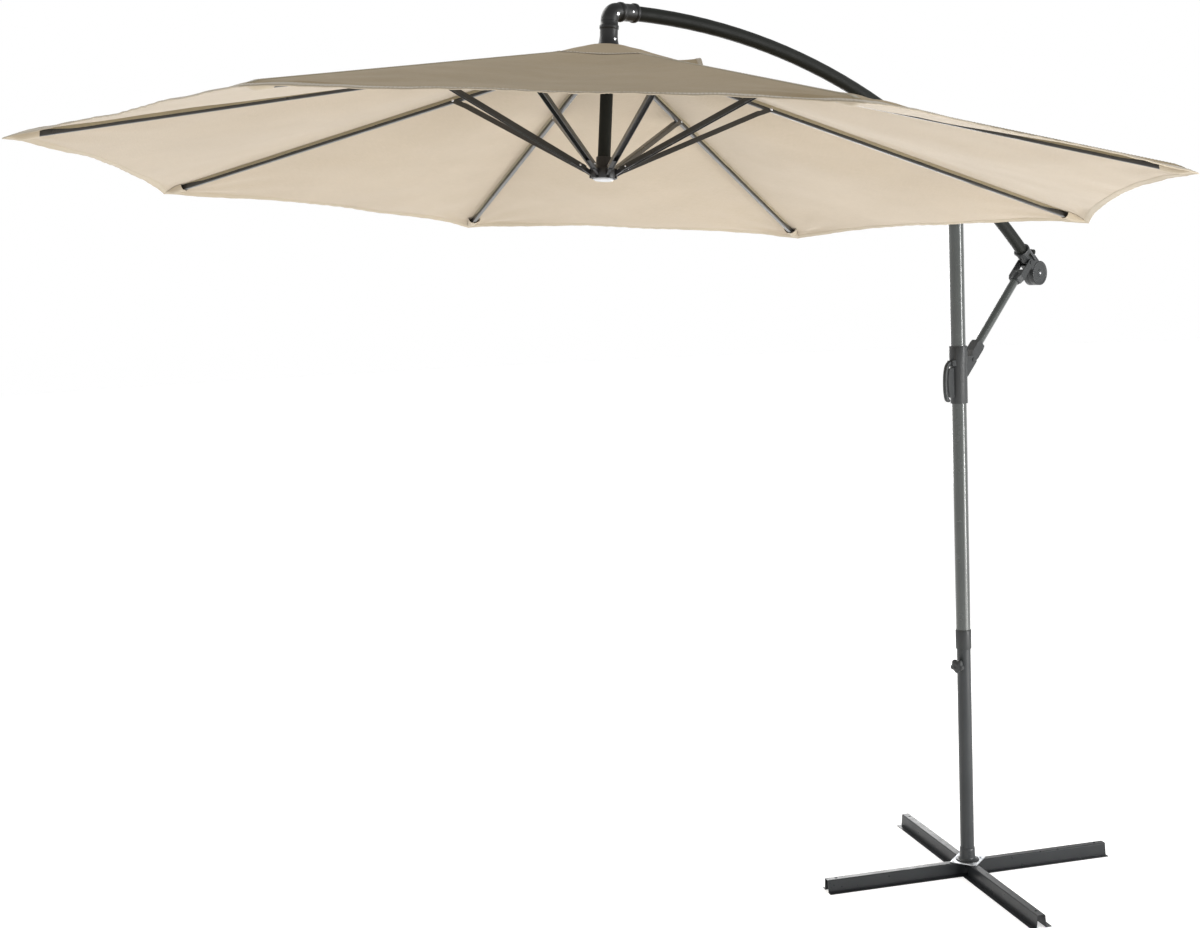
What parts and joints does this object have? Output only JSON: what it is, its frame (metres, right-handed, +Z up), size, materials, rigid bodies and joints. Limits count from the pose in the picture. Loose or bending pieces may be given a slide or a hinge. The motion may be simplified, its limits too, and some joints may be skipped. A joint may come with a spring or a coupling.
{
  "type": "cantilever parasol",
  "caption": "Free-arm garden parasol: a swivelling mast on a crossed base carries a tilting curved arm and a folding octagonal canopy that a crank opens.",
  "frame": {"origin": "on the ground at the foot of the mast, under the middle of the crossed base", "axes": "+Z up along the mast, -X towards the canopy along the arm, +Y across the arm on the crank side"},
  "size_m": [3.3655, 2.7716, 2.7877],
  "materials": {
    "base_steel": "anthracite powder coat, satin",
    "plate_zinc": "zinc-plated",
    "mast_steel": "anthracite powder coat, glossy",
    "arm_steel": "charcoal powder coat, satin",
    "rib_steel": "dark painted steel",
    "black_plastic": "moulded, fine texture",
    "grey_plastic": "moulded, fine texture",
    "bright_steel": "bright rivets and pins",
    "disc_plastic": "light grey, glossy",
    "canopy_cloth": "woven polyester, beige",
    "cord_braid": "braided polyester cord"
  },
  "bodies": {
    "base": {"base_bar_long": "base_steel", "base_bar_cross": "base_steel", "base_plate": "plate_zinc", "base_bolts": "plate_zinc", "mast_foot": "base_steel", "lower_mast_tube": "base_steel", "mast_collar": "grey_plastic"},
    "knob": {"clamp_knob": "grey_plastic"},
    "mast": {"upper_mast_tube": "mast_steel", "mast_head": "grey_plastic", "arm_pivot_bolt": "bright_steel", "slider_stop": "mast_steel"},
    "slider": {"slider_body": "grey_plastic", "slider_pins": "bright_steel"},
    "lever": {"release_lever": "grey_plastic"},
    "link": {"link_tube": "mast_steel", "link_boot": "grey_plastic", "link_fork": "grey_plastic"},
    "arm": {"arm_tube": "arm_steel", "arm_saddle": "grey_plastic", "elbow": "black_plastic", "elbow_rivets": "bright_steel", "pole_tube": "arm_steel", "crown_hub": "black_plastic", "crown_pins": "bright_steel", "winder_case_front": "grey_plastic", "winder_case_back": "grey_plastic", "lift_cord": "cord_braid", "vent_flap": "canopy_cloth"},
    "pulley": {"elbow_pulley": "bright_steel"},
    "crank": {"winder_drum": "bright_steel", "cord_winding": "cord_braid", "crank_arm": "arm_steel"},
    "grip": {"crank_grip": "grey_plastic"},
    "runner": {"runner_hub": "black_plastic", "runner_cap": "disc_plastic"},
    "gore_1": {"rib_1": "rib_steel", "canopy_1": "canopy_cloth"},
    "brace_1": {"strut_1": "rib_steel"},
    "gore_2": {"rib_2": "rib_steel", "canopy_2": "canopy_cloth"},
    "brace_2": {"strut_2": "rib_steel"},
    "gore_3": {"rib_3": "rib_steel", "canopy_3": "canopy_cloth"},
    "brace_3": {"strut_3": "rib_steel"},
    "gore_4": {"rib_4": "rib_steel", "canopy_4": "canopy_cloth"},
    "brace_4": {"strut_4": "rib_steel"},
    "gore_5": {"rib_5": "rib_steel", "canopy_5": "canopy_cloth"},
    "brace_5": {"strut_5": "rib_steel"},
    "gore_6": {"rib_6": "rib_steel", "canopy_6": "canopy_cloth"},
    "brace_6": {"strut_6": "rib_steel"},
    "gore_7": {"rib_7": "rib_steel", "canopy_7": "canopy_cloth"},
    "brace_7": {"strut_7": "rib_steel"},
    "gore_8": {"rib_8": "rib_steel", "canopy_8": "canopy_cloth"},
    "brace_8": {"strut_8": "rib_steel"}
  },
  "joints": [
    {"name": "mast_swivel", "type": "hinge", "parent": "base", "child": "mast", "pos_m": [0, 0, 0.84], "axis": [0, 0, 1], "continuous": true},
    {"name": "clamp_knob_turn", "type": "hinge", "parent": "base", "child": "knob", "pos_m": [0, 0, 0.724], "axis": [-0.9903, -0.1392, 0], "range_deg": [0, 1080]},
    {"name": "arm_tilt", "type": "hinge", "parent": "mast", "child": "arm", "pos_m": [0, 0, 2.351], "axis": [0, -1, 0], "range_deg": [0, 19.88]},
    {"name": "slider_slide", "type": "slide", "parent": "mast", "child": "slider", "axis": [0, 0, 1], "range_m": [0, 0.28]},
    {"name": "lever_squeeze", "type": "hinge", "parent": "slider", "child": "lever", "pos_m": [-0.038, 0, 1.729], "axis": [0, -1, 0], "range_deg": [0, 4], "stiffness_Nm_per_rad": 2, "springref_deg": -6.88},
    {"name": "link_swing", "type": "hinge", "parent": "slider", "child": "link", "pos_m": [0.055, 0, 1.735], "axis": [0, -1, 0], "range_deg": [-21, 0.5]},
    {"name": "crank_turn", "type": "hinge", "parent": "arm", "child": "crank", "pos_m": [0.43028, 0, 2.0031], "axis": [0, 1, 0], "range_deg": [0, 2506.7]},
    {"name": "crank_grip_spin", "type": "hinge", "parent": "crank", "child": "grip", "pos_m": [0.47303, 0.075, 2.07424], "axis": [0, 1, 0], "continuous": true},
    {"name": "pulley_turn", "type": "hinge", "parent": "arm", "child": "pulley", "pos_m": [-1.44416, 0, 2.75243], "axis": [0, 1, 0], "range_deg": [0, 3898.7]},
    {"name": "runner_slide", "type": "slide", "parent": "arm", "child": "runner", "axis": [-0.1096, 0, -0.994], "range_m": [0, 0.6133]},
    {"name": "rib_fold_1", "type": "hinge", "parent": "arm", "child": "gore_1", "pos_m": [-1.42371, 0.01722, 2.64339], "axis": [-0.3804, 0.9239, 0.0419], "range_deg": [0, 75], "deforming": ["canopy_1", "vent_flap"]},
    {"name": "strut_fold_1", "type": "hinge", "parent": "gore_1", "child": "brace_1", "pos_m": [-1.04258, 0.18063, 2.5004], "axis": [0.3804, -0.9239, -0.0419], "range_deg": [0, 136.82]},
    {"name": "rib_fold_2", "type": "hinge", "parent": "arm", "child": "gore_2", "pos_m": [-1.44791, 0.04158, 2.64605], "axis": [-0.9183, 0.3827, 0.1012], "range_deg": [0, 75], "deforming": ["canopy_2"]},
    {"name": "strut_fold_2", "type": "hinge", "parent": "gore_2", "child": "brace_2", "pos_m": [-1.29649, 0.43607, 2.52839], "axis": [0.9183, -0.3827, -0.1012], "range_deg": [0, 136.82]},
    {"name": "rib_fold_3", "type": "hinge", "parent": "arm", "child": "gore_3", "pos_m": [-1.48215, 0.04158, 2.64983], "axis": [-0.9183, -0.3827, 0.1012], "range_deg": [0, 75], "deforming": ["canopy_3"]},
    {"name": "strut_fold_3", "type": "hinge", "parent": "gore_3", "child": "brace_3", "pos_m": [-1.65557, 0.43607, 2.56797], "axis": [0.9183, 0.3827, -0.1012], "range_deg": [0, 136.82]},
    {"name": "rib_fold_4", "type": "hinge", "parent": "arm", "child": "gore_4", "pos_m": [-1.50635, 0.01722, 2.6525], "axis": [-0.3804, -0.9239, 0.0419], "range_deg": [0, 75], "deforming": ["canopy_4"]},
    {"name": "strut_fold_4", "type": "hinge", "parent": "gore_4", "child": "brace_4", "pos_m": [-1.90947, 0.18063, 2.59596], "axis": [0.3804, 0.9239, -0.0419], "range_deg": [0, 136.82]},
    {"name": "rib_fold_5", "type": "hinge", "parent": "arm", "child": "gore_5", "pos_m": [-1.50635, -0.01722, 2.6525], "axis": [0.3804, -0.9239, -0.0419], "range_deg": [0, 75], "deforming": ["canopy_5"]},
    {"name": "strut_fold_5", "type": "hinge", "parent": "gore_5", "child": "brace_5", "pos_m": [-1.90947, -0.18063, 2.59596], "axis": [-0.3804, 0.9239, 0.0419], "range_deg": [0, 136.82]},
    {"name": "rib_fold_6", "type": "hinge", "parent": "arm", "child": "gore_6", "pos_m": [-1.48215, -0.04158, 2.64983], "axis": [0.9183, -0.3827, -0.1012], "range_deg": [0, 75], "deforming": ["canopy_6"]},
    {"name": "strut_fold_6", "type": "hinge", "parent": "gore_6", "child": "brace_6", "pos_m": [-1.65557, -0.43607, 2.56797], "axis": [-0.9183, 0.3827, 0.1012], "range_deg": [0, 136.82]},
    {"name": "rib_fold_7", "type": "hinge", "parent": "arm", "child": "gore_7", "pos_m": [-1.44791, -0.04158, 2.64605], "axis": [0.9183, 0.3827, -0.1012], "range_deg": [0, 75], "deforming": ["canopy_7"]},
    {"name": "strut_fold_7", "type": "hinge", "parent": "gore_7", "child": "brace_7", "pos_m": [-1.29649, -0.43607, 2.52839], "axis": [-0.9183, -0.3827, 0.1012], "range_deg": [0, 136.82]},
    {"name": "rib_fold_8", "type": "hinge", "parent": "arm", "child": "gore_8", "pos_m": [-1.42371, -0.01722, 2.64339], "axis": [0.3804, 0.9239, -0.0419], "range_deg": [0, 75], "deforming": ["canopy_8"]},
    {"name": "strut_fold_8", "type": "hinge", "parent": "gore_8", "child": "brace_8", "pos_m": [-1.04258, -0.18063, 2.5004], "axis": [-0.3804, -0.9239, 0.0419], "range_deg": [0, 136.82]}
  ],
  "couplings": [
    {"joint": "slider_slide", "follows": "arm_tilt", "m_per_rad": 0.7658},
    {"joint": "link_swing", "follows": "arm_tilt", "ratio": -0.984},
    {"joint": "crank_turn", "follows": "rib_fold_1", "ratio": 33.409},
    {"joint": "pulley_turn", "follows": "rib_fold_1", "ratio": 51.97},
    {"joint": "runner_slide", "follows": "rib_fold_1", "m_per_rad": 0.46773},
    {"joint": "strut_fold_1", "follows": "rib_fold_1", "ratio": 1.8175},
    {"joint": "rib_fold_2", "follows": "rib_fold_1", "ratio": 1},
    {"joint": "strut_fold_2", "follows": "rib_fold_1", "ratio": 1.8175},
    {"joint": "rib_fold_3", "follows": "rib_fold_1", "ratio": 1},
    {"joint": "strut_fold_3", "follows": "rib_fold_1", "ratio": 1.8175},
    {"joint": "rib_fold_4", "follows": "rib_fold_1", "ratio": 1},
    {"joint": "strut_fold_4", "follows": "rib_fold_1", "ratio": 1.8175},
    {"joint": "rib_fold_5", "follows": "rib_fold_1", "ratio": 1},
    {"joint": "strut_fold_5", "follows": "rib_fold_1", "ratio": 1.8175},
    {"joint": "rib_fold_6", "follows": "rib_fold_1", "ratio": 1},
    {"joint": "strut_fold_6", "follows": "rib_fold_1", "ratio": 1.8175},
    {"joint": "rib_fold_7", "follows": "rib_fold_1", "ratio": 1},
    {"joint": "strut_fold_7", "follows": "rib_fold_1", "ratio": 1.8175},
    {"joint": "rib_fold_8", "follows": "rib_fold_1", "ratio": 1},
    {"joint": "strut_fold_8", "follows": "rib_fold_1", "ratio": 1.8175}
  ]
}
